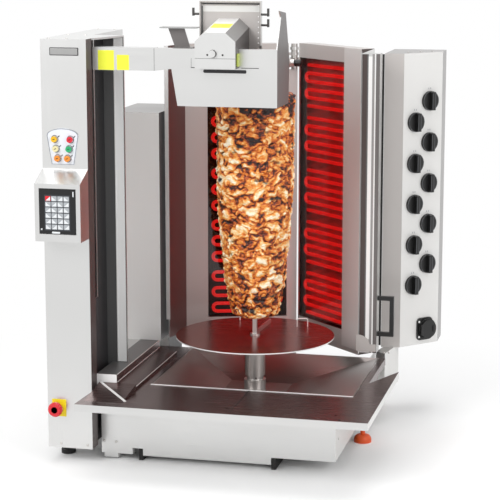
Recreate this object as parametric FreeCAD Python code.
import FreeCAD, Part
import math
import os

# Automatic electric doner grill, millimetres.
# Origin: bottom centre of the overall box. +X right, +Y back, +Z up, the front faces -Y.

V = FreeCAD.Vector

# Overall size
WIDTH = 974.0
DEPTH = 965.0
HEIGHT = 1257.0
LEFT = -WIDTH / 2
RIGHT = WIDTH / 2
FRONT = -DEPTH / 2
BACK = DEPTH / 2

# Clearances shared by everything that fits
SEAT_GAP = 0.3
SLIDE_GAP = 0.5
BEARING_CLEARANCE = 0.05
SHEET = 2.0

# Left column
COLUMN_WIDTH = 127.0
COLUMN_FRONT_Y = -354.0
COLUMN_LIP_DEPTH = 47.0
COLUMN_CHANNEL_DEPTH = 142.0
COLUMN_BACK_DEPTH = 270.0
COLUMN_BOTTOM_Z = 42.0
COLUMN_TOP_Z = HEIGHT - 102.0
COLUMN_CAP_THICKNESS = 5.0
CHANNEL_RECESS = 14.0
ARM_SLOT_WIDTH = 44.0
ARM_SLOT_Y = -285.0
FLANGE_REACH = 44.0
FLANGE_THICKNESS = 5.0
REAR_BOX_STEP = 43.0
COLUMN_RIGHT = LEFT + COLUMN_WIDTH
CHANNEL_FRONT_Y = COLUMN_FRONT_Y + COLUMN_LIP_DEPTH
CHANNEL_BACK_Y = CHANNEL_FRONT_Y + COLUMN_CHANNEL_DEPTH
COLUMN_BACK_Y = CHANNEL_BACK_Y + COLUMN_BACK_DEPTH
CHANNEL_WALL_X = COLUMN_RIGHT - CHANNEL_RECESS
FLANGE_RIGHT = COLUMN_RIGHT + FLANGE_REACH
REAR_BOX_RIGHT = COLUMN_RIGHT - REAR_BOX_STEP

# Base box and its feet
BASE_LEFT = COLUMN_RIGHT + 6.0
BASE_RIGHT = RIGHT - 183.0
BASE_FRONT_Y = -293.0
BASE_BACK_Y = 430.0
BASE_BOTTOM_Z = 35.0
BASE_TOP_Z = 140.0
BRACKET_DROP = 18.0
BRACKET_WIDTH = 89.0
TRAY_RAIL_Z = 132.0
BRACKET_FOOT_Z = 100.0
SKID_THICKNESS = 12.0
SKID_LEDGE = 8.0
SKID_X = (BASE_LEFT + 106.0, BASE_RIGHT - 177.0)
COLUMN_FOOT_X = LEFT + 25.0
CORNER_FOOT_INSET = 34.0
CORNER_FOOT_Y = 390.0
FOOT_RADIUS = 20.0
FOOT_PAD_HEIGHT = 12.0
FOOT_STEM_RADIUS = 7.0
CUP_FOOT_RADIUS = 25.0
CUP_FOOT_HEIGHT = 22.0
CUP_FOOT_ROUND = 15.0

# Tray, covers and basin
TRAY_TOP_Z = 205.0
TRAY_LIP = 20.0
TRAY_LEFT = COLUMN_RIGHT - 7.0
TRAY_RIGHT = BASE_RIGHT + 118.0
TRAY_CORNER_X = BASE_RIGHT + 56.0
TRAY_SIDE_BACK_Y = 54.0
TRAY_RAIL_X = (BASE_RIGHT + 6.0, BASE_RIGHT + 48.0)
TRAY_RAIL_Y = (-60.0, 120.0)
TRAY_WEDGE_X = (COLUMN_RIGHT + 8.0, COLUMN_RIGHT + 113.0)
TRAY_WEDGE_RISE = 18.0
TRAY_WEDGE_LENGTH = 133.0
WELL_MARGIN = 12.0
FINGER_HOLE_RADIUS = 5.0
TRAY_NOTCH_Y = -92.0
COVER_BACK_Y = -245.0
COVER_FRONT_MARGIN = 26.0
COVER_THICKNESS = 3.0
COVER_LEFT = COLUMN_RIGHT + 130.0
COVER_RIGHT = BASE_RIGHT + 42.0
COVER_SPLIT_X = 54.0
WELL_FLOOR = 3.0
BASIN_BACK_Y = 200.0
BASIN_FLOOR_Z = 148.0
BASIN_FLOOR_HALF = 90.0
BASIN_SHEET = 3.0

# Drip drawer under the base
DRAWER_HEIGHT = 20.0
DRAWER_LENGTH = 420.0

# Spit
SPIT_X = 20.0
SPIT_Y = -25.0
DISC_RADIUS = 225.0
DISC_TOP_Z = 310.0
DISC_THICKNESS = 3.0
PILLAR_RADIUS = 29.0
PILLAR_COLLAR_RADIUS = 31.0
PILLAR_COLLAR_HEIGHT = 34.0
PILLAR_NECK_RADIUS = 23.5
PILLAR_NECK_HEIGHT = 12.0
DRIVE_SHAFT_RADIUS = 10.0
SPIT_ROD_WIDTH = 12.0
SPIT_JOURNAL_RADIUS = 6.0
LEVER_LENGTH = 165.0
LEVER_ANGLE = 87.5
MEAT_BOTTOM_Z = 368.0
MEAT_TOP_Z = HEIGHT - 257.0
MEAT_BOTTOM_RADIUS = 66.0
MEAT_TOP_RADIUS = 112.0

# Burners, seen in plan as a V behind the spit
POST_X = 50.0
POST_Y = 358.0
POST_RADIUS = 10.0
POST_TOP_Z = HEIGHT - 147.0
BEARING_ARM_Z = MEAT_TOP_Z + 45.0
BEARING_ARM_HEIGHT = 24.0
BURNER_GLASS_WIDTH = 238.0
BURNER_BOTTOM_Z = 227.0
BURNER_TOP_Z = POST_TOP_Z + 2.0
BURNER_GLASS_BOTTOM_Z = BURNER_BOTTOM_Z + 60.0
BURNER_GLASS_HEIGHT = BURNER_TOP_Z - 42.0 - BURNER_GLASS_BOTTOM_Z
BURNER_DEPTH = 46.0
BURNER_INNER_MARGIN = 4.0
BURNER_FLANGE = 72.0
CENTRE_STRIP_WIDTH = 26.0
LEFT_GLASS_START = (POST_X - 16.0, POST_Y - 24.0)
LEFT_BURNER_ANGLE = 197.3
RIGHT_GLASS_START = (POST_X + 18.0, POST_Y - 7.0)
RIGHT_BURNER_ANGLE = -44.3
LUG_THICKNESS = 8.0
LUG_WALL = 3.2
LEFT_LUG_LEVELS = (BURNER_BOTTOM_Z + 27.0, BURNER_TOP_Z - 36.0)
RIGHT_LUG_LEVELS = (BURNER_BOTTOM_Z + 11.0, BURNER_TOP_Z - 20.0)
CLAMP_X = POST_X + 12.0
CLAMP_Y = POST_Y - 58.0
CLAMP_PIN_RADIUS = 4.0
GLASS_THICKNESS = 4.0
ELEMENT_COUNT = 5
ELEMENT_BARS = 6
ELEMENT_PITCH = BURNER_GLASS_HEIGHT / ELEMENT_COUNT
BAR_PITCH = ELEMENT_PITCH / (ELEMENT_BARS + 0.47)
BAR_RADIUS = 4.2
ELEMENT_POCKET = 22.0
SIDE_WALL_DEPTH = 95.0
WING_POST_WIDTH = 52.0
WING_END = BURNER_GLASS_WIDTH + BURNER_FLANGE
WING_POST_X = RIGHT_GLASS_START[0] + WING_END * math.cos(math.radians(RIGHT_BURNER_ANGLE)) + 1.0
WING_POST_FRONT_Y = RIGHT_GLASS_START[1] + WING_END * math.sin(math.radians(RIGHT_BURNER_ANGLE))
WING_POST_Y = (WING_POST_FRONT_Y, WING_POST_FRONT_Y + 42.0)
HANDLE_REACH = 47.0
HANDLE_BAR = 12.0
HANDLE_HEIGHT = 118.0
HANDLE_BOTTOM_Z = BURNER_BOTTOM_Z + 56.0

# Control box on the right
CONTROL_BOTTOM_Z = 217.0
CONTROL_TOP_Z = HEIGHT - 167.0
CONTROL_LEFT_X = RIGHT - 155.0
CONTROL_FRONT_Y = 290.0
CONTROL_CORNER_X = RIGHT - 99.0
CONTROL_CORNER_Y = 295.0
CONTROL_SIDE_Y = 399.0
KNOB_RADIUS = 28.5
KNOB_SKIRT = 8.0
KNOB_GRIP = 14.0
KNOB_SHAFT_RADIUS = 3.0
KNOB_TOP_Z = CONTROL_TOP_Z - 141.2
KNOB_STEP_Z = 121.5
KNOB_STAGGER_Z = 60.0
KNOB_OUTER_SHARE = 96.0
KNOB_INNER_SHARE = 44.0
SOCKET_RADIUS = 31.0
SOCKET_SHARE = 96.5
SOCKET_DEPTH = 12.0
SOCKET_Z = CONTROL_BOTTOM_Z + 47.0

# Left rail beam, drip channel and rear cabinet
BEAM_RIGHT = COLUMN_RIGHT + 57.0
BEAM_FRONT_Y = -308.0
BEAM_TOP_Z = 245.0
CHANNEL_WIDTH = 54.0
BEAM_BOTTOM_Z = 206.0
CABINET_LEFT = LEFT + 47.0
CABINET_RIGHT = COLUMN_RIGHT + 63.0
CABINET_BACK_Y = 362.0
CABINET_TOP_Z = HEIGHT - 336.0

# Cutter arm and head
ARM_TOP_Z = HEIGHT - 120.0
ARM_HEIGHT = 60.0
ARM_DEPTH = 40.0
HEAD_X = -13.5
ARM_SEAM_X = HEAD_X - 174.5
HOOD_LEFT_TOP = HEAD_X - 127.5
HOOD_LEFT_BOTTOM = HEAD_X - 111.5
HOOD_RIGHT = HEAD_X + 157.5
HOOD_BOTTOM_Z = ARM_TOP_Z - 151.0
HOOD_SHEET = 3.0
FIN_DEPTH = 152.0
FIN_TOP_Z = HEIGHT - 21.0
HEAD_WIDTH = 109.0
HEAD_FRONT_Y = -341.0
HEAD_LENGTH = 154.0
HEAD_BOTTOM_Z = ARM_TOP_Z - 49.0
HEAD_SHOULDER_Z = ARM_TOP_Z + 21.0
HEAD_TOP_Z = ARM_TOP_Z + 44.0
HEAD_WALL = 3.0
HEAD_RISE = 30.0
REAR_PLATE_WIDTH = 168.0
REAR_PLATE_X = HEAD_X + 5.5
REAR_PLATE_FOLD = 14.0
REAR_PLATE_BOTTOM_Z = HEIGHT - 137.0
FLAG_Z = ARM_TOP_Z + 52.0
FLAG_SHEET = 3.0
BLADE_RADIUS = 52.0
BLADE_THICKNESS = 1.5
BLADE_Z = ARM_TOP_Z - 103.0
BLADE_Y = -156.0
BLADE_SHAFT_RADIUS = 6.0
LIFT_TRAVEL = 600.0
SLOT_MARGIN = 30.0

# Lift drive inside the column
SCREW_RADIUS = 8.0
SCREW_X = LEFT + 42.0
SCREW_Y = ARM_SLOT_Y + ARM_SLOT_WIDTH / 2
ROD_RADIUS = 8.0
ROD_SPACING = 50.0
LIFT_MOTOR_RADIUS = 32.0
LIFT_MOTOR_HEIGHT = 90.0

# Front panels on the column
SCREEN_DEPTH = 68.0
SCREEN_BOTTOM_Z = 629.0
SCREEN_FRONT_TOP_Z = SCREEN_BOTTOM_Z + 155.0
SCREEN_BACK_TOP_Z = SCREEN_BOTTOM_Z + 187.0
SCREEN_RIM = 12.0
PANEL_CENTRE_X = LEFT + 58.0
PANEL_BOTTOM_Z = SCREEN_BACK_TOP_Z + 11.0
PANEL_SHOULDER_Z = PANEL_BOTTOM_Z + 79.0
PANEL_TOP_Z = PANEL_BOTTOM_Z + 98.0
PANEL_TOP_WIDTH = 89.0
PANEL_BOTTOM_WIDTH = 63.0
PANEL_THICKNESS = 1.5
BUTTON_RADIUS = 8.0
BUTTON_STEM_RADIUS = 3.2
BUTTON_HEIGHT = 6.0
BUTTON_TRAVEL = 2.5
ESTOP_X = LEFT + 29.0
ESTOP_Z = 155.0
ESTOP_RADIUS = 20.0
ESTOP_STEM_RADIUS = 6.0
ESTOP_PLATE = 48.0


def box(x0, x1, y0, y1, z0, z1):
    return Part.makeBox(x1 - x0, y1 - y0, z1 - z0, V(x0, y0, z0))


def cylinder(radius, length, start, axis):
    return Part.makeCylinder(radius, length, V(*start), V(*axis))


def prism(points, z0, z1):
    """Extrude a closed plan outline from z0 to z1."""
    outline = [V(x, y, z0) for x, y in points]
    wire = Part.makePolygon(outline + [outline[0]])
    return Part.Face(wire).extrude(V(0, 0, z1 - z0))


def slab(points, y0, y1):
    """Extrude a closed front-view outline of (x, z) points from y0 to y1."""
    outline = [V(x, y0, z) for x, z in points]
    wire = Part.makePolygon(outline + [outline[0]])
    return Part.Face(wire).extrude(V(0, y1 - y0, 0))


def fuse(first, *others):
    shape = first
    for other in others:
        shape = shape.fuse(other)
    return shape.removeSplitter()


def group(shapes):
    return Part.makeCompound(shapes)


def turned(shape, x, y, degrees):
    """Turn a shape drawn about the origin and set it at a point of the plan."""
    copy = shape.copy()
    copy.rotate(V(0, 0, 0), V(0, 0, 1), degrees)
    copy.translate(V(x, y, 0))
    return copy


def column_casing():
    """Folded column: a front box, a recessed channel for the arm, a flange and a narrower rear box."""
    front = box(LEFT, COLUMN_RIGHT, COLUMN_FRONT_Y, CHANNEL_FRONT_Y, COLUMN_BOTTOM_Z, COLUMN_TOP_Z)
    channel = box(LEFT, CHANNEL_WALL_X, CHANNEL_FRONT_Y, CHANNEL_BACK_Y, COLUMN_BOTTOM_Z, COLUMN_TOP_Z)
    low = box(LEFT, COLUMN_RIGHT, CHANNEL_BACK_Y, COLUMN_BACK_Y, COLUMN_BOTTOM_Z, BEAM_TOP_Z)
    high = box(LEFT, REAR_BOX_RIGHT, CHANNEL_BACK_Y, COLUMN_BACK_Y, BEAM_TOP_Z, COLUMN_TOP_Z)
    shell = fuse(front, channel, low, high)
    for y0, y1, right, top in (
            (COLUMN_FRONT_Y, CHANNEL_FRONT_Y, COLUMN_RIGHT, COLUMN_TOP_Z + 2 * SHEET),
            (CHANNEL_FRONT_Y - 2 * SHEET, CHANNEL_BACK_Y + SHEET, CHANNEL_WALL_X, COLUMN_TOP_Z + 2 * SHEET),
            (CHANNEL_BACK_Y, COLUMN_BACK_Y, COLUMN_RIGHT, BEAM_TOP_Z),
            (CHANNEL_BACK_Y - 2 * SHEET, COLUMN_BACK_Y, REAR_BOX_RIGHT, COLUMN_TOP_Z + 2 * SHEET)):
        shell = shell.cut(box(LEFT + SHEET, right - SHEET, y0 + SHEET, y1 - SHEET,
                              COLUMN_BOTTOM_Z + SHEET, top - SHEET))
    flange = box(CHANNEL_WALL_X - SHEET, FLANGE_RIGHT, CHANNEL_BACK_Y, CHANNEL_BACK_Y + FLANGE_THICKNESS,
                 BEAM_TOP_Z, COLUMN_TOP_Z)
    shell = fuse(shell, flange)
    slot_bottom = ARM_TOP_Z - ARM_HEIGHT - LIFT_TRAVEL - SLOT_MARGIN
    slot = box(CHANNEL_WALL_X - 2 * SHEET, CHANNEL_WALL_X + SHEET,
               ARM_SLOT_Y, ARM_SLOT_Y + ARM_SLOT_WIDTH, slot_bottom, COLUMN_TOP_Z + SHEET)
    shell = shell.cut(slot)
    shell = shell.cut(cylinder(ESTOP_STEM_RADIUS + BEARING_CLEARANCE, 4 * SHEET,
                               (ESTOP_X, COLUMN_FRONT_Y - SHEET, ESTOP_Z), (0, 1, 0)))
    for x, z in button_places():
        shell = shell.cut(cylinder(BUTTON_STEM_RADIUS + BEARING_CLEARANCE, 4 * SHEET,
                                   (x, COLUMN_FRONT_Y - SHEET, z), (0, 1, 0)))
    seams = ((COLUMN_FRONT_Y, COLUMN_FRONT_Y + SHEET, COLUMN_BOTTOM_Z, COLUMN_TOP_Z),
             (COLUMN_FRONT_Y + SHEET, CHANNEL_FRONT_Y, COLUMN_BOTTOM_Z, COLUMN_TOP_Z),
             (CHANNEL_FRONT_Y, CHANNEL_BACK_Y, COLUMN_BOTTOM_Z, slot_bottom),
             (CHANNEL_FRONT_Y, CHANNEL_BACK_Y, slot_bottom, COLUMN_TOP_Z),
             (CHANNEL_BACK_Y, COLUMN_BACK_Y, COLUMN_BOTTOM_Z, COLUMN_TOP_Z))
    regions = [box(LEFT, FLANGE_RIGHT, *seam) for seam in seams]
    folded = [solid for region in regions for solid in shell.common(region).Solids]
    flange_back_y = CHANNEL_BACK_Y + FLANGE_THICKNESS
    cap = prism([(LEFT, COLUMN_FRONT_Y), (COLUMN_RIGHT, COLUMN_FRONT_Y), (COLUMN_RIGHT, CHANNEL_FRONT_Y),
                 (FLANGE_RIGHT, CHANNEL_BACK_Y), (FLANGE_RIGHT, flange_back_y),
                 (REAR_BOX_RIGHT, flange_back_y),
                 (REAR_BOX_RIGHT, COLUMN_BACK_Y), (LEFT, COLUMN_BACK_Y)],
                COLUMN_TOP_Z, COLUMN_TOP_Z + COLUMN_CAP_THICKNESS)
    return group(folded + [cap])


def button_places():
    """Six buttons in three rows that draw in towards the bottom of the panel."""
    rows = ((PANEL_BOTTOM_Z + 68.0, 22.0), (PANEL_BOTTOM_Z + 42.5, 18.5), (PANEL_BOTTOM_Z + 17.0, 14.0))
    return [(PANEL_CENTRE_X + side * half, z) for z, half in rows for side in (-1, 1)]


def button_panel():
    half_top = PANEL_TOP_WIDTH / 2
    half_bottom = PANEL_BOTTOM_WIDTH / 2
    y = COLUMN_FRONT_Y - PANEL_THICKNESS
    bottom_left = V(PANEL_CENTRE_X - half_bottom, y, PANEL_BOTTOM_Z)
    bottom_right = V(PANEL_CENTRE_X + half_bottom, y, PANEL_BOTTOM_Z)
    top_left = V(PANEL_CENTRE_X - half_top, y, PANEL_SHOULDER_Z)
    top_right = V(PANEL_CENTRE_X + half_top, y, PANEL_SHOULDER_Z)
    crown = V(PANEL_CENTRE_X, y, PANEL_TOP_Z)
    edges = [Part.LineSegment(bottom_left, bottom_right).toShape(),
             Part.LineSegment(bottom_right, top_right).toShape(),
             Part.Arc(top_right, crown, top_left).toShape(),
             Part.LineSegment(top_left, bottom_left).toShape()]
    plate = Part.Face(Part.Wire(edges)).extrude(V(0, PANEL_THICKNESS, 0))
    for x, z in button_places():
        bore = cylinder(BUTTON_STEM_RADIUS + BEARING_CLEARANCE, 4 * SHEET, (x, y - 1, z), (0, 1, 0))
        plate = plate.cut(bore)
    half = ESTOP_PLATE / 2
    estop_plate = box(ESTOP_X - half + 8, ESTOP_X + half, y, COLUMN_FRONT_Y, ESTOP_Z - half, ESTOP_Z + half)
    estop_plate = estop_plate.cut(cylinder(ESTOP_STEM_RADIUS + BEARING_CLEARANCE, 4 * SHEET,
                                           (ESTOP_X, y - 1, ESTOP_Z), (0, 1, 0)))
    return group([plate, estop_plate])


def push_button(x, z):
    """Cap in front of the panel with a plunger through it."""
    face_y = COLUMN_FRONT_Y - PANEL_THICKNESS - BUTTON_TRAVEL - SEAT_GAP
    cap = cylinder(BUTTON_RADIUS, BUTTON_HEIGHT, (x, face_y - BUTTON_HEIGHT, z), (0, 1, 0))
    stem = cylinder(BUTTON_STEM_RADIUS, 14.0, (x, face_y, z), (0, 1, 0))
    return fuse(cap, stem)


def estop_button():
    face_y = COLUMN_FRONT_Y - PANEL_THICKNESS - 2 * BUTTON_TRAVEL
    neck = cylinder(ESTOP_RADIUS * 0.6, 12.0, (ESTOP_X, face_y - 12.0, ESTOP_Z), (0, 1, 0))
    head_start = V(ESTOP_X, face_y - 24.0, ESTOP_Z)
    head = Part.makeCone(ESTOP_RADIUS * 0.8, ESTOP_RADIUS, 5.0, head_start, V(0, 1, 0))
    rim = cylinder(ESTOP_RADIUS, 8.0, (ESTOP_X, face_y - 19.0, ESTOP_Z), (0, 1, 0))
    stem = cylinder(ESTOP_STEM_RADIUS, 16.0, (ESTOP_X, face_y, ESTOP_Z), (0, 1, 0))
    return fuse(neck, head, rim, stem)


def screen_box():
    front_y = COLUMN_FRONT_Y - SCREEN_DEPTH
    profile = [V(LEFT, COLUMN_FRONT_Y, SCREEN_BOTTOM_Z), V(LEFT, front_y, SCREEN_BOTTOM_Z),
               V(LEFT, front_y, SCREEN_FRONT_TOP_Z), V(LEFT, COLUMN_FRONT_Y, SCREEN_BACK_TOP_Z)]
    solid = Part.Face(Part.makePolygon(profile + [profile[0]])).extrude(V(COLUMN_WIDTH, 0, 0))
    pane = box(LEFT + SCREEN_RIM, COLUMN_RIGHT - SCREEN_RIM, front_y - 1, front_y + 3,
               SCREEN_BOTTOM_Z + 20, SCREEN_FRONT_TOP_Z - SCREEN_RIM)
    return solid.cut(pane)


def base_box():
    """Open-topped sheet box that carries the tray, with a bracket that drops at the left front."""
    outer = box(BASE_LEFT, BASE_RIGHT, BASE_FRONT_Y, BASE_BACK_Y, BASE_BOTTOM_Z, BASE_TOP_Z)
    inner = box(BASE_LEFT + SHEET, BASE_RIGHT - SHEET, BASE_FRONT_Y + SHEET, BASE_BACK_Y - SHEET,
                BASE_BOTTOM_Z + SHEET, BASE_TOP_Z + 1)
    shell = outer.cut(inner)
    bracket = box(BASE_LEFT, BASE_LEFT + BRACKET_WIDTH, BASE_FRONT_Y, BASE_FRONT_Y + 30,
                  BASE_BOTTOM_Z - BRACKET_DROP, BASE_BOTTOM_Z)
    rail_top = TRAY_TOP_Z - TRAY_LIP
    front = box(BASE_LEFT, BASE_RIGHT, BASE_FRONT_Y, BASE_FRONT_Y + SHEET, BASE_TOP_Z, rail_top)
    left_rail = box(BASE_LEFT, BASE_LEFT + 5, BASE_FRONT_Y, COLUMN_BACK_Y, BASE_TOP_Z, BEAM_BOTTOM_Z)
    right_rail = box(BASE_RIGHT - 3, BASE_RIGHT, BASE_FRONT_Y, BASE_BACK_Y, BASE_TOP_Z, rail_top)
    block = box(BASE_LEFT + 7, BASE_LEFT + 46, BASE_FRONT_Y + 3, BASE_FRONT_Y + 28,
                4.0, BASE_BOTTOM_Z - BRACKET_DROP)
    bridge = box(COLUMN_RIGHT, BASE_LEFT, CHANNEL_BACK_Y, COLUMN_BACK_Y, BASE_BOTTOM_Z + 10, BASE_TOP_Z)
    return fuse(shell, bracket, front, left_rail, right_rail, block, bridge)


def feet_and_skids():
    """Two folded skids on rubber pads under the base, and round levelling feet under the column."""
    pieces = []
    ledge_top = BASE_BOTTOM_Z - SLIDE_GAP - DRAWER_HEIGHT - SLIDE_GAP
    for x, ledge_x in zip(SKID_X, (SKID_X[0] + SKID_THICKNESS, SKID_X[1] - SKID_LEDGE)):
        web = box(x, x + SKID_THICKNESS, BASE_FRONT_Y + 4, BASE_BACK_Y - 10, 0, BASE_BOTTOM_Z)
        ledge = box(ledge_x, ledge_x + SKID_LEDGE, BASE_FRONT_Y + 8, BASE_BACK_Y - 10,
                    ledge_top - 3, ledge_top)
        pieces.append(fuse(web, ledge))
    column_feet = ((COLUMN_FOOT_X, CHANNEL_FRONT_Y + 45), (COLUMN_FOOT_X, COLUMN_BACK_Y - 40),
                   (BASE_LEFT + CORNER_FOOT_INSET, CORNER_FOOT_Y))
    for x, y in column_feet:
        top = COLUMN_BOTTOM_Z if x < BASE_LEFT else BASE_BOTTOM_Z
        pad = cylinder(FOOT_RADIUS, FOOT_PAD_HEIGHT, (x, y, 0), (0, 0, 1))
        stem = cylinder(FOOT_STEM_RADIUS, top, (x, y, 0), (0, 0, 1))
        pieces.append(fuse(pad, stem))
    return group(pieces)


def cup_feet():
    """Two domed feet on stems, under the right frame rail and under the base's rear corner."""
    pieces = []
    for x, y, top in ((BASE_RIGHT + 20, 29.0, TRAY_RAIL_Z),
                      (BASE_RIGHT - CORNER_FOOT_INSET, CORNER_FOOT_Y, BASE_BOTTOM_Z)):
        dome = cylinder(CUP_FOOT_RADIUS, CUP_FOOT_HEIGHT, (x, y, 0), (0, 0, 1))
        rim = [edge for edge in dome.Edges if edge.BoundBox.ZMin > CUP_FOOT_HEIGHT / 2]
        dome = dome.makeFillet(CUP_FOOT_ROUND, rim)
        stem = cylinder(FOOT_STEM_RADIUS, top, (x, y, 0), (0, 0, 1))
        pieces.append(fuse(dome, stem))
    return group(pieces)


def tray_outline():
    """Plan of the tray: full at the front, cut back at both rear corners."""
    return [(TRAY_LEFT, FRONT), (TRAY_RIGHT, FRONT), (TRAY_RIGHT, TRAY_SIDE_BACK_Y),
            (TRAY_CORNER_X, TRAY_NOTCH_Y), (TRAY_CORNER_X, BASIN_BACK_Y),
            (COLUMN_RIGHT + 12, BASIN_BACK_Y), (COLUMN_RIGHT + 12, COLUMN_FRONT_Y - 2),
            (COLUMN_RIGHT - 1, COLUMN_FRONT_Y - 2)]


def tray_frame():
    """Sheet tray with a folded lip, open over the covers' pan and over the basin."""
    tray = prism(tray_outline(), TRAY_TOP_Z - TRAY_LIP, TRAY_TOP_Z)
    well = box(COVER_LEFT + WELL_MARGIN, COVER_RIGHT - WELL_MARGIN, FRONT + COVER_FRONT_MARGIN + WELL_MARGIN,
               COVER_BACK_Y - WELL_MARGIN,
               TRAY_TOP_Z - TRAY_LIP + WELL_FLOOR, TRAY_TOP_Z + 1)
    tray = tray.cut(well)
    seat = box(COVER_LEFT, COVER_RIGHT, FRONT + COVER_FRONT_MARGIN, COVER_BACK_Y,
               TRAY_TOP_Z - COVER_THICKNESS, TRAY_TOP_Z + 1)
    tray = tray.cut(seat)
    basin_hole = box(COVER_LEFT + 4, COVER_RIGHT - 4, COVER_BACK_Y + 8, BASIN_BACK_Y + 1,
                     TRAY_TOP_Z - TRAY_LIP - 1, TRAY_TOP_Z + 1)
    tray = tray.cut(basin_hole)
    rail_left, rail_right = TRAY_RAIL_X
    rail_front, rail_back = TRAY_RAIL_Y
    rail = box(rail_left, rail_right, rail_front, rail_back, TRAY_RAIL_Z, TRAY_TOP_Z - TRAY_LIP)
    rail = rail.cut(box(rail_left - 1, rail_right - SHEET, rail_front - 1, rail_back + 1,
                        TRAY_RAIL_Z + SHEET, TRAY_TOP_Z - TRAY_LIP - SHEET))
    wedge_left, wedge_right = TRAY_WEDGE_X
    wedge_back = BEAM_FRONT_Y - 3
    low_back = V(wedge_left, wedge_back, TRAY_TOP_Z)
    high_back = V(wedge_left, wedge_back, TRAY_TOP_Z + TRAY_WEDGE_RISE)
    toe = V(wedge_left, wedge_back - TRAY_WEDGE_LENGTH, TRAY_TOP_Z)
    side = Part.Face(Part.makePolygon([low_back, high_back, toe, low_back]))
    wedge = side.extrude(V(wedge_right - wedge_left, 0, 0))
    return fuse(tray, rail, wedge)


def cover(x0, x1):
    """One flat lift-out cover over the pan, with a finger hole at its front right."""
    plate = box(x0 + SEAT_GAP, x1 - SEAT_GAP, FRONT + COVER_FRONT_MARGIN + SEAT_GAP, COVER_BACK_Y - SEAT_GAP,
                TRAY_TOP_Z - COVER_THICKNESS, TRAY_TOP_Z)
    hole = cylinder(FINGER_HOLE_RADIUS, 2 * COVER_THICKNESS + 2, (x1 - 18, FRONT + COVER_FRONT_MARGIN + 30,
                                                   TRAY_TOP_Z - COVER_THICKNESS - 1), (0, 0, 1))
    return plate.cut(hole)


def rectangle_wire(x0, x1, y0, y1, z):
    corners = [V(x0, y0, z), V(x1, y0, z), V(x1, y1, z), V(x0, y1, z)]
    return Part.makePolygon(corners + [corners[0]])


def grease_basin():
    """Four-sided funnel that falls to a flat floor round the spit pillar."""
    left, right = COVER_LEFT + 5, COVER_RIGHT - 5
    near, far = COVER_BACK_Y + 9, BASIN_BACK_Y - 1
    t = BASIN_SHEET

    def floor_wire(half, z):
        return rectangle_wire(SPIT_X - half, SPIT_X + half, SPIT_Y - half, SPIT_Y + half, z)

    rim = rectangle_wire(left, right, near, far, TRAY_TOP_Z)
    inner_rim = rectangle_wire(left + t, right - t, near + t, far - t, TRAY_TOP_Z + SEAT_GAP)
    outer = Part.makeLoft([rim, floor_wire(BASIN_FLOOR_HALF + t, BASIN_FLOOR_Z - t)], True, True)
    inner = Part.makeLoft([inner_rim, floor_wire(BASIN_FLOOR_HALF, BASIN_FLOOR_Z)], True, True)
    basin = outer.cut(inner)
    return basin.cut(cylinder(PILLAR_COLLAR_RADIUS - 4, 20, (SPIT_X, SPIT_Y, BASIN_FLOOR_Z - 10), (0, 0, 1)))


def pillar():
    """Fixed bearing tube from the gear motor up to just under the disc."""
    bore = DRIVE_SHAFT_RADIUS + BEARING_CLEARANCE
    z = BASIN_FLOOR_Z
    collar = cylinder(PILLAR_COLLAR_RADIUS, PILLAR_COLLAR_HEIGHT, (SPIT_X, SPIT_Y, z), (0, 0, 1))
    neck_z = z + PILLAR_COLLAR_HEIGHT
    neck = cylinder(PILLAR_NECK_RADIUS, PILLAR_NECK_HEIGHT, (SPIT_X, SPIT_Y, neck_z), (0, 0, 1))
    tube_z = neck_z + PILLAR_NECK_HEIGHT
    tube_top = DISC_TOP_Z - DISC_THICKNESS - 8.0
    tube = cylinder(PILLAR_RADIUS, tube_top - tube_z, (SPIT_X, SPIT_Y, tube_z), (0, 0, 1))
    foot = cylinder(PILLAR_COLLAR_RADIUS - 5, BASIN_FLOOR_Z - 122.0, (SPIT_X, SPIT_Y, 122.0), (0, 0, 1))
    solid = fuse(collar, neck, tube, foot)
    return solid.cut(cylinder(bore, HEIGHT, (SPIT_X, SPIT_Y, 0), (0, 0, 1)))


def spit_gearmotor():
    """Gear case on the base floor under the pillar, with its motor lying beside it."""
    floor = BASE_BOTTOM_Z + SHEET
    case = box(SPIT_X - 55, SPIT_X + 55, SPIT_Y - 55, SPIT_Y + 55, floor, 122.0)
    case = case.cut(cylinder(DRIVE_SHAFT_RADIUS + BEARING_CLEARANCE, 100, (SPIT_X, SPIT_Y, 60.0), (0, 0, 1)))
    motor = cylinder(34.0, 150.0, (SPIT_X + 55, SPIT_Y, floor + 40), (1, 0, 0))
    return fuse(case, motor)


def spit_disc():
    """Thin round plate on a hub whose shaft turns in the pillar."""
    z = DISC_TOP_Z - DISC_THICKNESS
    disc = cylinder(DISC_RADIUS, DISC_THICKNESS, (SPIT_X, SPIT_Y, z), (0, 0, 1))
    hub = cylinder(PILLAR_RADIUS - 1.5, 7.0, (SPIT_X, SPIT_Y, z - 7.0), (0, 0, 1))
    shaft = cylinder(DRIVE_SHAFT_RADIUS, z - 65.0, (SPIT_X, SPIT_Y, 65.0), (0, 0, 1))
    return fuse(disc, hub, shaft)


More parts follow.
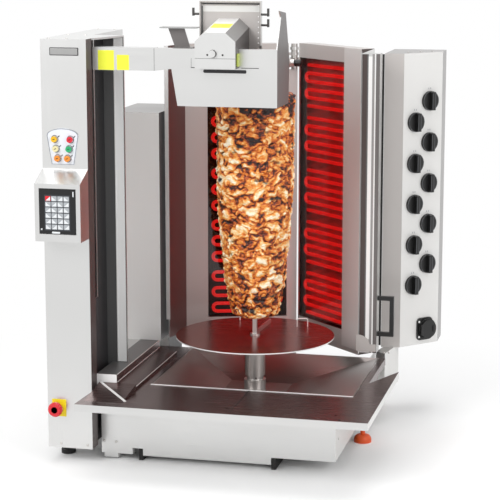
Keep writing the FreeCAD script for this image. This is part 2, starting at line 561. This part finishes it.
def spit_rod():
    """Flat rod that carries the meat, with a foot block and a round journal at its top."""
    half = SPIT_ROD_WIDTH / 2
    top = MEAT_TOP_Z + 30
    bar = box(SPIT_X - half, SPIT_X + half, SPIT_Y - half, SPIT_Y + half, DISC_TOP_Z, top)
    journal_length = BEARING_ARM_Z + BEARING_ARM_HEIGHT + 11 - top
    journal = cylinder(SPIT_JOURNAL_RADIUS, journal_length, (SPIT_X, SPIT_Y, top), (0, 0, 1))
    foot = cylinder(14.0, 5.0, (SPIT_X, SPIT_Y, DISC_TOP_Z), (0, 0, 1))
    lever = box(10.0, LEVER_LENGTH, -3.0, 3.0, DISC_TOP_Z, DISC_TOP_Z + 10.0)
    lever = turned(lever, SPIT_X, SPIT_Y, LEVER_ANGLE)
    return fuse(bar, journal, foot, lever)


def doner_meat():
    """Stacked meat as a tapering body of stacked rounds, bored for the rod."""
    layers = 9
    wires = []
    for i in range(layers + 1):
        t = i / layers
        swell = 6.0 * math.sin(math.pi * (2.0 * t + 0.15))
        radius = MEAT_BOTTOM_RADIUS + (MEAT_TOP_RADIUS - MEAT_BOTTOM_RADIUS) * min(1.0, 1.75 * t) ** 0.8
        if 0 < i < layers:
            radius += swell * 0.5
        z = MEAT_BOTTOM_Z + (MEAT_TOP_Z - MEAT_BOTTOM_Z) * t
        wires.append(Part.Wire([Part.makeCircle(radius, V(SPIT_X, SPIT_Y, z), V(0, 0, 1))]))
    cone = Part.makeLoft(wires, True, True)
    half = SPIT_ROD_WIDTH / 2 + 0.2
    return cone.cut(box(SPIT_X - half, SPIT_X + half, SPIT_Y - half, SPIT_Y + half, DISC_TOP_Z, HEIGHT))


def drip_drawer():
    """Shallow tray that slides out under the base on the skids' ledges."""
    z1 = BASE_BOTTOM_Z - SLIDE_GAP
    z0 = z1 - DRAWER_HEIGHT
    front_y = BASE_FRONT_Y + 2.0
    left = SKID_X[0] + SKID_THICKNESS + SLIDE_GAP
    right = SKID_X[1] - SLIDE_GAP
    solid = box(left, right, front_y, front_y + DRAWER_LENGTH, z0, z1)
    return solid.cut(box(left + SHEET, right - SHEET, front_y + SHEET, front_y + DRAWER_LENGTH - SHEET,
                         z0 + SHEET, z1 + 1))


def burner_frame(start, angle, mirrored):
    """Return a function that sets a shape drawn along +X, with its front at -Y, onto a burner."""
    def place(shape):
        copy = shape.copy()
        if mirrored:
            copy = copy.mirror(V(0, 0, 0), V(0, 1, 0))
        return turned(copy, start[0], start[1], angle)
    return place


RIGHT_BURNER = burner_frame(RIGHT_GLASS_START, RIGHT_BURNER_ANGLE, False)
LEFT_BURNER = burner_frame(LEFT_GLASS_START, LEFT_BURNER_ANGLE, True)


def hinge_lugs(start, angle, mirrored, levels):
    """Lugs that reach from the housing's inner end and turn round the centre post."""
    side = -1 if mirrored else 1
    direction = math.radians(angle)
    along = (math.cos(direction), math.sin(direction))
    behind = (-side * along[1], side * along[0])
    anchor = (start[0] + 6 * along[0] + 14 * behind[0], start[1] + 6 * along[1] + 14 * behind[1])
    reach = math.hypot(anchor[0] - POST_X, anchor[1] - POST_Y)
    bearing = math.degrees(math.atan2(anchor[1] - POST_Y, anchor[0] - POST_X))
    lugs = []
    for z in levels:
        ring = cylinder(POST_RADIUS + LUG_WALL, LUG_THICKNESS, (POST_X, POST_Y, z), (0, 0, 1))
        bar = turned(box(0, reach, -6.0, 6.0, z, z + LUG_THICKNESS), POST_X, POST_Y, bearing)
        lugs.append(fuse(ring, bar))
    return lugs


def burner_housing(place, start, angle, mirrored, levels, inner_flange, extra):
    """Closed sheet housing with a pocket for the elements and a rebate for the glass."""
    outer = box(-BURNER_INNER_MARGIN, BURNER_GLASS_WIDTH + BURNER_FLANGE, 0, BURNER_DEPTH,
                BURNER_BOTTOM_Z, BURNER_TOP_Z)
    pocket = box(0, BURNER_GLASS_WIDTH, -1, GLASS_THICKNESS + ELEMENT_POCKET,
                 BURNER_GLASS_BOTTOM_Z, BURNER_GLASS_BOTTOM_Z + BURNER_GLASS_HEIGHT)
    duct = box(BURNER_GLASS_WIDTH + 2 * SHEET, BURNER_GLASS_WIDTH + BURNER_FLANGE - SHEET, SHEET,
               BURNER_DEPTH - SHEET, BURNER_BOTTOM_Z + SHEET, BURNER_TOP_Z - SHEET)
    rear = box(0, BURNER_GLASS_WIDTH, GLASS_THICKNESS + ELEMENT_POCKET + SHEET, BURNER_DEPTH - SHEET,
               BURNER_BOTTOM_Z + SHEET, BURNER_TOP_Z - SHEET)
    strip = box(-BURNER_INNER_MARGIN - inner_flange, -BURNER_INNER_MARGIN + SHEET, 0, SHEET,
                BURNER_BOTTOM_Z, BEARING_ARM_Z - 10)
    housing = place(fuse(outer.cut(pocket).cut(duct).cut(rear), strip))
    solid = fuse(housing, *hinge_lugs(start, angle, mirrored, levels), *extra)
    return solid.cut(cylinder(POST_RADIUS + BEARING_CLEARANCE, HEIGHT, (POST_X, POST_Y, 0), (0, 0, 1)))


def left_side_wall():
    """Sheet that turns forward from the left burner's outer edge, with a folded front edge."""
    direction = math.radians(LEFT_BURNER_ANGLE)
    end = (LEFT_GLASS_START[0] + WING_END * math.cos(direction),
           LEFT_GLASS_START[1] + WING_END * math.sin(direction))
    tip = (end[0] - 23.0, end[1] - SIDE_WALL_DEPTH)
    plan = [end, (end[0] + 6, end[1] + 2), (tip[0] + 4, tip[1]), tip]
    wall = prism(plan, BURNER_BOTTOM_Z + 18, BURNER_TOP_Z)
    edge = box(tip[0] - 6, tip[0] + 6, tip[1] - 3, tip[1] + 3, BURNER_BOTTOM_Z + 73, BURNER_TOP_Z)
    return [wall, edge]


def right_wing_post():
    """Closed outer post of the right burner, which carries the handle."""
    left, right = WING_POST_X, WING_POST_X + WING_POST_WIDTH
    front, back = WING_POST_Y
    points = [(left - 2, front + 2), (right, front), (right, back), (left + 25, back)]
    solid = prism(points, BURNER_BOTTOM_Z + 8, BURNER_TOP_Z - 12)
    channel = box(left + 9, left + 23, front - 4, front + 16, BURNER_BOTTOM_Z + 50, BURNER_TOP_Z - 20)
    return [solid.cut(channel)]


def burner_glass(place):
    pane = box(SEAT_GAP, BURNER_GLASS_WIDTH - SEAT_GAP, 0, GLASS_THICKNESS,
               BURNER_GLASS_BOTTOM_Z + SEAT_GAP, BURNER_GLASS_BOTTOM_Z + BURNER_GLASS_HEIGHT - SEAT_GAP)
    upright = [edge for edge in pane.Edges if abs(edge.Vertexes[0].Y - edge.Vertexes[1].Y) > 1]
    return place(pane.makeFillet(8.0, upright))


def heater_element(first_z):
    """One tube in six bars joined by bends, with a terminal at each end."""
    x0, x1 = 28.0, BURNER_GLASS_WIDTH - 28.0
    y = GLASS_THICKNESS + ELEMENT_POCKET / 2
    bend = BAR_PITCH / 2
    edges = []
    for bar in range(ELEMENT_BARS):
        z = first_z - bar * BAR_PITCH
        rightward = bar % 2 == 0
        start_x, end_x = (x0, x1) if rightward else (x1, x0)
        edges.append(Part.LineSegment(V(start_x, y, z), V(end_x, y, z)).toShape())
        if bar < ELEMENT_BARS - 1:
            out = bend if rightward else -bend
            arc = Part.Arc(V(end_x, y, z), V(end_x + out, y, z - bend), V(end_x, y, z - 2 * bend))
            edges.append(arc.toShape())
    profile = Part.Wire([Part.makeCircle(BAR_RADIUS, V(x0, y, first_z), V(1, 0, 0))])
    tube = Part.Wire(edges).makePipeShell([profile], True, False)
    last_z = first_z - (ELEMENT_BARS - 1) * BAR_PITCH
    pocket_back = GLASS_THICKNESS + ELEMENT_POCKET
    pins = [cylinder(BAR_RADIUS - 1, pocket_back - y, (x0 + 4, y, z), (0, 1, 0)) for z in (first_z, last_z)]
    return fuse(tube, *pins)


def heater_elements(place):
    top_z = BURNER_GLASS_BOTTOM_Z + BURNER_GLASS_HEIGHT - 21.0
    return group([place(heater_element(top_z - i * ELEMENT_PITCH)) for i in range(ELEMENT_COUNT)])


def wing_handle():
    """Square-cornered pull handle on the side of the wing post."""
    x0 = WING_POST_X + WING_POST_WIDTH
    x1 = x0 + HANDLE_REACH
    y0 = WING_POST_Y[0] + 14
    y1 = y0 + HANDLE_BAR
    z0, z1 = HANDLE_BOTTOM_Z, HANDLE_BOTTOM_Z + HANDLE_HEIGHT
    outer = box(x0, x1, y0, y1, z0, z1)
    return outer.cut(box(x0 - 1, x1 - HANDLE_BAR, y0 - 1, y1 + 1, z0 + HANDLE_BAR, z1 - HANDLE_BAR))


def centre_post():
    floor = BASE_BOTTOM_Z + SHEET
    shaft = cylinder(POST_RADIUS, POST_TOP_Z - floor, (POST_X, POST_Y, floor), (0, 0, 1))
    flange = cylinder(3 * POST_RADIUS, 6.0, (POST_X, POST_Y, floor), (0, 0, 1))
    return fuse(shaft, flange)


def top_bearing_arm():
    """Flat bar from the centre post to the bearing ring at the top of the spit."""
    z0, z1 = BEARING_ARM_Z, BEARING_ARM_Z + BEARING_ARM_HEIGHT
    reach = math.hypot(POST_X - SPIT_X, POST_Y - SPIT_Y)
    bearing = math.degrees(math.atan2(SPIT_Y - POST_Y, SPIT_X - POST_X))
    bar = turned(box(0, reach, -5.0, 5.0, z0, z1), POST_X, POST_Y, bearing)
    ring = cylinder(15.0, z1 - z0, (SPIT_X, SPIT_Y, z0), (0, 0, 1))
    clamp = cylinder(POST_RADIUS + 4, z1 - z0, (POST_X, POST_Y, z0), (0, 0, 1))
    boss = cylinder(11.0, 34.0, (CLAMP_X - 34.0, CLAMP_Y, (z0 + z1) / 2), (1, 0, 0))
    arm = fuse(bar, ring, clamp, boss)
    for radius, x, y in ((SPIT_JOURNAL_RADIUS, SPIT_X, SPIT_Y), (POST_RADIUS, POST_X, POST_Y)):
        arm = arm.cut(cylinder(radius + BEARING_CLEARANCE, HEIGHT, (x, y, 0), (0, 0, 1)))
    pin_start = (CLAMP_X - 14.0, CLAMP_Y, (z0 + z1) / 2)
    return arm.cut(cylinder(CLAMP_PIN_RADIUS + BEARING_CLEARANCE, 20.0, pin_start, (1, 0, 0)))


def clamp_knob():
    z = BEARING_ARM_Z + BEARING_ARM_HEIGHT / 2
    head = cylinder(10.5, 21.0, (CLAMP_X + SEAT_GAP, CLAMP_Y, z), (1, 0, 0))
    pin = cylinder(CLAMP_PIN_RADIUS, 13.0 + SEAT_GAP, (CLAMP_X - 13.0, CLAMP_Y, z), (1, 0, 0))
    head = head.makeFillet(4.0, [edge for edge in head.Edges if edge.Closed])
    return fuse(head, pin)


def control_outline(inset):
    """Plan of the control box: narrow front face, slanted knob face, square back."""
    return [(CONTROL_LEFT_X + inset, CONTROL_FRONT_Y + inset * 1.1),
            (CONTROL_CORNER_X - inset * 0.55, CONTROL_CORNER_Y + inset * 1.1),
            (RIGHT - inset, CONTROL_SIDE_Y + inset * 0.5), (RIGHT - inset, BACK - inset),
            (CONTROL_LEFT_X + inset, BACK - inset)]


def face_point(share, outward=0.0):
    """Point on the slanted knob face, a length along it and a length out from it."""
    dx, dy = RIGHT - CONTROL_CORNER_X, CONTROL_SIDE_Y - CONTROL_CORNER_Y
    length = math.hypot(dx, dy)
    along, normal = (dx / length, dy / length), (dy / length, -dx / length)
    return (CONTROL_CORNER_X + share * along[0] + outward * normal[0],
            CONTROL_CORNER_Y + share * along[1] + outward * normal[1], normal, along)


def knob_places():
    places = []
    for i in range(5):
        places.append((KNOB_OUTER_SHARE, KNOB_TOP_Z - i * KNOB_STEP_Z))
        places.append((KNOB_INNER_SHARE, KNOB_TOP_Z - KNOB_STAGGER_Z - i * KNOB_STEP_Z))
    return places


def control_box():
    shell = prism(control_outline(0), CONTROL_BOTTOM_Z, CONTROL_TOP_Z)
    shell = shell.cut(prism(control_outline(SHEET), CONTROL_BOTTOM_Z + SHEET, CONTROL_TOP_Z - SHEET))
    for share, z in knob_places():
        x, y, normal, _ = face_point(share, 5.0)
        inward = (-normal[0], -normal[1], 0)
        shell = shell.cut(cylinder(KNOB_SHAFT_RADIUS + BEARING_CLEARANCE, 12.0, (x, y, z), inward))
    for share in (30.0, 75.0, 120.0):
        x, y, normal, _ = face_point(share, -20.0)
        shell = fuse(shell, cylinder(4.0, 2.5, (x, y, CONTROL_TOP_Z), (0, 0, 1)))
    return shell


def control_knob(share, z):
    """Round skirt with a bar grip, on a shaft through the knob face."""
    x, y, normal, _ = face_point(share, SEAT_GAP)
    skirt = cylinder(KNOB_RADIUS, KNOB_SKIRT, (x, y, z), (normal[0], normal[1], 0))
    grip = box(KNOB_SKIRT - 1, KNOB_SKIRT + KNOB_GRIP, -6.0, 6.0, -KNOB_RADIUS + 2, KNOB_RADIUS - 2)
    grip.translate(V(0, 0, z))
    grip = turned(grip, x, y, math.degrees(math.atan2(normal[1], normal[0])))
    shaft = cylinder(KNOB_SHAFT_RADIUS, 14.0, (x + normal[0], y + normal[1], z), (-normal[0], -normal[1], 0))
    return fuse(skirt, grip, shaft)


def socket_body():
    x, y, normal, _ = face_point(SOCKET_SHARE, 0.0)
    body = cylinder(SOCKET_RADIUS, SOCKET_DEPTH, (x, y, SOCKET_Z), (normal[0], normal[1], 0))
    cup = cylinder(21.0, 10.0, (x + 4 * normal[0], y + 4 * normal[1], SOCKET_Z), (normal[0], normal[1], 0))
    return body.cut(cup)


def socket_flap():
    x, y, normal, _ = face_point(SOCKET_SHARE, SOCKET_DEPTH + SEAT_GAP)
    return cylinder(SOCKET_RADIUS - 3, 5.0, (x, y, SOCKET_Z), (normal[0], normal[1], 0))


def post_bracket():
    """Folded bracket beside the base that carries the control box."""
    near, far = CONTROL_FRONT_Y - 82, CONTROL_FRONT_Y + 55
    left = CONTROL_LEFT_X
    pillar_shape = prism([(left - 4, near + 22), (left + 25, near), (left + 46, far - 5), (left + 17, far)],
                         BRACKET_FOOT_Z, CONTROL_BOTTOM_Z)
    foot = box(BASE_RIGHT, left + 36, near + 24, far - 15, BRACKET_FOOT_Z, BASE_TOP_Z)
    return fuse(pillar_shape, foot)


def side_beam():
    beam = box(COLUMN_RIGHT, BEAM_RIGHT, BEAM_FRONT_Y, COLUMN_BACK_Y, BEAM_BOTTOM_Z, BEAM_TOP_Z)
    return beam.cut(box(COLUMN_RIGHT + SHEET, BEAM_RIGHT - SHEET, BEAM_FRONT_Y + SHEET,
                        COLUMN_BACK_Y - SHEET, BEAM_BOTTOM_Z + SHEET, BEAM_TOP_Z - SHEET))


def drip_channel():
    """Folded channel along the beam that leads drips down onto the tray."""
    t = SHEET
    x, top = BEAM_RIGHT, BEAM_TOP_Z
    foot, wide = TRAY_TOP_Z, CHANNEL_WIDTH
    points = [(x, top), (x + t, top), (x + t, foot + 19), (x + wide - t, foot + 8), (x + wide, foot + 7),
              (x + wide, foot), (x + wide - t, foot), (x + wide - t, foot + 5.5), (x, foot + 16.5)]
    return slab(points, BEAM_FRONT_Y, COLUMN_BACK_Y)


def rear_cabinet():
    """Tall closed box behind the column, on a leg that stands on the base."""
    body = box(CABINET_LEFT, CABINET_RIGHT, COLUMN_BACK_Y, CABINET_BACK_Y, BEAM_TOP_Z, CABINET_TOP_Z)
    body = body.cut(box(CABINET_LEFT + SHEET, CABINET_RIGHT - SHEET, COLUMN_BACK_Y + SHEET,
                        CABINET_BACK_Y - SHEET, BEAM_TOP_Z + SHEET, CABINET_TOP_Z - SHEET))
    leg = box(BASE_LEFT + SHEET, CABINET_RIGHT - 6, BASIN_BACK_Y + 6, CABINET_BACK_Y - 6,
              BASE_BOTTOM_Z + SHEET, BEAM_TOP_Z)
    leg = leg.cut(box(BASE_LEFT + 5, CABINET_RIGHT - 9, BASIN_BACK_Y + 9, CABINET_BACK_Y - 9,
                      BASE_BOTTOM_Z + 4, BEAM_TOP_Z - 2))
    return fuse(body, leg)


def guide_rods():
    rods = []
    for y in (SCREW_Y - ROD_SPACING, SCREW_Y + ROD_SPACING):
        floor = COLUMN_BOTTOM_Z + SHEET
        rods.append(cylinder(ROD_RADIUS, COLUMN_TOP_Z - floor, (SCREW_X, y, floor), (0, 0, 1)))
    return group(rods)


def lift_motor():
    floor = COLUMN_BOTTOM_Z + SHEET
    body = cylinder(LIFT_MOTOR_RADIUS, LIFT_MOTOR_HEIGHT, (SCREW_X, SCREW_Y, floor), (0, 0, 1))
    return body.cut(cylinder(SCREW_RADIUS / 2 + BEARING_CLEARANCE, 40.0,
                             (SCREW_X, SCREW_Y, floor + LIFT_MOTOR_HEIGHT - 30), (0, 0, 1)))


def lift_screw():
    z = COLUMN_BOTTOM_Z + SHEET + LIFT_MOTOR_HEIGHT + SEAT_GAP
    thread = cylinder(SCREW_RADIUS, COLUMN_TOP_Z - 6 - z, (SCREW_X, SCREW_Y, z), (0, 0, 1))
    end = cylinder(SCREW_RADIUS / 2, 26.0, (SCREW_X, SCREW_Y, z - 25.0), (0, 0, 1))
    return fuse(thread, end)


def carriage_arm():
    """Carriage block on the rods, a neck through the column slot and the hollow front arm."""
    z0, z1 = ARM_TOP_Z - ARM_HEIGHT, ARM_TOP_Z
    half = ROD_SPACING + 18
    block = box(SCREW_X - 20, SCREW_X + 20, SCREW_Y - half, SCREW_Y + half, z0 + 5, z1 - 5)
    neck = box(SCREW_X + 20, COLUMN_RIGHT + 2, ARM_SLOT_Y + 4, ARM_SLOT_Y + ARM_SLOT_WIDTH - 4,
               z0 + 10, z1 - 10)
    arm_y = CHANNEL_FRONT_Y + 1
    arm = box(COLUMN_RIGHT + 2, ARM_SEAM_X - SEAT_GAP, arm_y, arm_y + ARM_DEPTH, z0, z1)
    inner = box(ARM_SEAM_X - SEAT_GAP, HEAD_X - HEAD_WIDTH / 2 - 4, arm_y + HOOD_SHEET + SEAT_GAP,
                arm_y + ARM_DEPTH, z0 + 8, z1 - 8)
    solid = fuse(block, neck, arm, inner)
    solid = solid.cut(box(COLUMN_RIGHT + 5, ARM_SEAM_X - 6, arm_y + 3, arm_y + ARM_DEPTH - 3,
                          z0 + 3, z1 - 3))
    solid = solid.cut(cylinder(SCREW_RADIUS + BEARING_CLEARANCE, HEIGHT, (SCREW_X, SCREW_Y, 0), (0, 0, 1)))
    for y in (SCREW_Y - ROD_SPACING, SCREW_Y + ROD_SPACING):
        solid = solid.cut(cylinder(ROD_RADIUS + BEARING_CLEARANCE, HEIGHT, (SCREW_X, y, 0), (0, 0, 1)))
    return solid


def hood_plate():
    """Front sheet of the head with a top return and a tall fin folded back at its right."""
    y = CHANNEL_FRONT_Y + 1
    z_arm = ARM_TOP_Z - ARM_HEIGHT
    outline = [(ARM_SEAM_X, ARM_TOP_Z), (ARM_SEAM_X, z_arm), (HOOD_LEFT_TOP, z_arm + 6),
               (HOOD_LEFT_BOTTOM, HOOD_BOTTOM_Z), (HOOD_RIGHT, HOOD_BOTTOM_Z), (HOOD_RIGHT, ARM_TOP_Z)]
    front = slab(outline, y, y + HOOD_SHEET)
    lip = box(ARM_SEAM_X, HOOD_RIGHT, y, y + 22, ARM_TOP_Z - HOOD_SHEET, ARM_TOP_Z)
    fin_side = [(0, HOOD_BOTTOM_Z), (0, ARM_TOP_Z), (46, FIN_TOP_Z - 18), (26, FIN_TOP_Z),
                (104, FIN_TOP_Z - 8), (FIN_DEPTH, ARM_TOP_Z - 37), (FIN_DEPTH - 12, HOOD_BOTTOM_Z)]
    fin_points = [V(HOOD_RIGHT - HOOD_SHEET, y + back, z) for back, z in fin_side]
    fin = Part.Face(Part.makePolygon(fin_points + [fin_points[0]])).extrude(V(HOOD_SHEET, 0, 0))
    solid = fuse(front, lip, fin)
    half = HEAD_WIDTH / 2 + SEAT_GAP
    window = box(HEAD_X - half, HEAD_X + half, y - 1, y + 30, HEAD_BOTTOM_Z - SEAT_GAP, ARM_TOP_Z + 1)
    return solid.cut(window)


def head_section(y, rise):
    half = HEAD_WIDTH / 2
    shoulder = HEAD_SHOULDER_Z + rise
    corners = [(HEAD_X - half, HEAD_BOTTOM_Z), (HEAD_X + half, HEAD_BOTTOM_Z), (HEAD_X + half, shoulder),
               (HEAD_X + 28, HEAD_TOP_Z + rise), (HEAD_X - 28, HEAD_TOP_Z + rise), (HEAD_X - half, shoulder)]
    points = [V(x, y, z) for x, z in corners]
    return Part.makePolygon(points + [points[0]])


def motor_housing():
    """Faceted cover over the cutter motor that rises towards the back."""
    back_y = HEAD_FRONT_Y + HEAD_LENGTH
    cover_shape = Part.makeLoft([head_section(HEAD_FRONT_Y, 0), head_section(back_y, HEAD_RISE)], True, True)
    half = HEAD_WIDTH / 2 - HEAD_WALL
    inner = box(HEAD_X - half, HEAD_X + half, HEAD_FRONT_Y + HEAD_WALL, back_y - HEAD_WALL,
                HEAD_BOTTOM_Z + HEAD_WALL, HEAD_SHOULDER_Z - HEAD_WALL)
    leg = blade_leg(SEAT_GAP, HEAD_BOTTOM_Z - 1, HEAD_BOTTOM_Z + 4)
    plug = cylinder(9.0, 10.0, (HEAD_X - 6, HEAD_FRONT_Y - 8, ARM_TOP_Z - 10), (0, 1, 0))
    return fuse(cover_shape.cut(inner).cut(leg), plug)


def blade_leg(gap, z0, z1):
    """Block of the gear leg, or the hole for it when a gap is given."""
    half = 25.0 + gap
    return box(HEAD_X - half, HEAD_X + half, BLADE_Y - 79 - gap, BLADE_Y - 39 + gap, z0, z1)


def blade_motor():
    """Motor in the head with a gear leg that reaches down to the blade shaft."""
    motor_z = ARM_TOP_Z - 17
    motor = cylinder(28.0, 110.0, (HEAD_X, BLADE_Y - 160.0, motor_z), (0, 1, 0))
    leg = blade_leg(0, BLADE_Z - 25, motor_z)
    solid = fuse(motor, leg)
    bore = cylinder(BLADE_SHAFT_RADIUS + BEARING_CLEARANCE, 60.0, (HEAD_X, BLADE_Y - 75, BLADE_Z), (0, 1, 0))
    return solid.cut(bore)


def cutter_blade():
    centre = V(HEAD_X, BLADE_Y, BLADE_Z)
    disc = Part.makeCone(BLADE_RADIUS, BLADE_RADIUS - 4, BLADE_THICKNESS, centre, V(0, 1, 0))
    hub = cylinder(14.0, 10.0, (HEAD_X, BLADE_Y - 10, BLADE_Z), (0, 1, 0))
    shaft = cylinder(BLADE_SHAFT_RADIUS, 64.0, (HEAD_X, BLADE_Y - 74, BLADE_Z), (0, 1, 0))
    return fuse(disc, hub, shaft)


def rear_plate():
    """Upright plate behind the head with a folded top, small holes and three wing bolts."""
    x0, x1 = REAR_PLATE_X - REAR_PLATE_WIDTH / 2, REAR_PLATE_X + REAR_PLATE_WIDTH / 2
    y = HEAD_FRONT_Y + HEAD_LENGTH
    plate = box(x0, x1, y, y + HOOD_SHEET, REAR_PLATE_BOTTOM_Z, HEIGHT)
    fold = box(x0, x1, y - REAR_PLATE_FOLD, y, HEIGHT - HOOD_SHEET, HEIGHT)
    sides = [box(x, x + HOOD_SHEET, y - REAR_PLATE_FOLD, y, REAR_PLATE_BOTTOM_Z + 20, HEIGHT)
             for x in (x0, x1 - HOOD_SHEET)]
    for i in range(9):
        hole_z = REAR_PLATE_BOTTOM_Z + 12 + 14 * i
        plate = plate.cut(cylinder(1.6, 20.0, (x1 - 10, y - 8, hole_z), (0, 1, 0)))
    solid = fuse(plate, fold, *sides)
    bolts = [solid]
    for x, z, out in ((x0, HEIGHT - 35, -1), (x1, HEIGHT - 35, 1), (x1, HEIGHT - 63, 1)):
        stud = cylinder(3.0, 16.0, (x, y - 6, z), (out, 0, 0))
        tip = x + out * 16.0
        nut = box(min(tip, tip + out * 5), max(tip, tip + out * 5), y - 10, y - 2, z - 5, z + 16)
        bolts.append(fuse(stud, nut))
    return group(bolts)


def flag_bracket():
    """Small cranked bracket on top of the arm."""
    y = CHANNEL_FRONT_Y + 1
    t = FLAG_SHEET
    left, right = HEAD_X - 123.5, HEAD_X - 70.5
    foot = box(left, right, y + 2, y + 34, ARM_TOP_Z, ARM_TOP_Z + t)
    web = slab([(left - 18, FLAG_Z), (left + 26, FLAG_Z),
                (right - 12, ARM_TOP_Z + t), (left, ARM_TOP_Z + t)], y + 22, y + 22 + t)
    flange = box(left - 36, right + 10, y + 2, y + 40, FLAG_Z, FLAG_Z + t)
    return fuse(foot, web, flange)


def build():
    nodes = {
        "base_box": base_box(), "feet_and_skids": feet_and_skids(), "cup_feet": cup_feet(),
        "column_casing": column_casing(), "guide_rods": guide_rods(), "lift_motor": lift_motor(),
        "lift_screw": lift_screw(), "screen_box": screen_box(), "button_panel": button_panel(),
        "estop_button": estop_button(), "side_beam": side_beam(), "drip_channel": drip_channel(),
        "rear_cabinet": rear_cabinet(), "tray_frame": tray_frame(),
        "cover_left": cover(COVER_LEFT, COVER_SPLIT_X), "cover_right": cover(COVER_SPLIT_X, COVER_RIGHT),
        "grease_basin": grease_basin(), "drip_drawer": drip_drawer(), "pillar": pillar(),
        "spit_gearmotor": spit_gearmotor(), "spit_disc": spit_disc(), "spit_rod": spit_rod(),
        "doner_meat": doner_meat(), "centre_post": centre_post(), "top_bearing_arm": top_bearing_arm(),
        "clamp_knob": clamp_knob(), "control_box": control_box(), "post_bracket": post_bracket(),
        "socket_body": socket_body(), "socket_flap": socket_flap(), "wing_handle": wing_handle(),
        "carriage_arm": carriage_arm(), "hood_plate": hood_plate(), "motor_housing": motor_housing(),
        "blade_motor": blade_motor(), "cutter_blade": cutter_blade(), "rear_plate": rear_plate(),
        "flag_bracket": flag_bracket(),
    }
    nodes["left_burner_housing"] = burner_housing(LEFT_BURNER, LEFT_GLASS_START, LEFT_BURNER_ANGLE, True,
                                                  LEFT_LUG_LEVELS, CENTRE_STRIP_WIDTH, left_side_wall())
    nodes["right_burner_housing"] = burner_housing(RIGHT_BURNER, RIGHT_GLASS_START, RIGHT_BURNER_ANGLE,
                                                   False, RIGHT_LUG_LEVELS, 0, right_wing_post())
    for side, place in (("left", LEFT_BURNER), ("right", RIGHT_BURNER)):
        nodes[side + "_burner_glass"] = burner_glass(place)
        nodes[side + "_heater_elements"] = heater_elements(place)
    for number, (share, z) in enumerate(knob_places(), 1):
        nodes[f"control_knob_{number}"] = control_knob(share, z)
    for number, (x, z) in enumerate(button_places(), 1):
        nodes[f"push_button_{number}"] = push_button(x, z)
    return nodes


os.makedirs("parts", exist_ok=True)
for node, shape in build().items():
    shape.exportStep(f"parts/{node}.step")
    print(node, len(shape.Solids), "solids", round(shape.Volume / 1000), "cm3", "valid", shape.isValid())
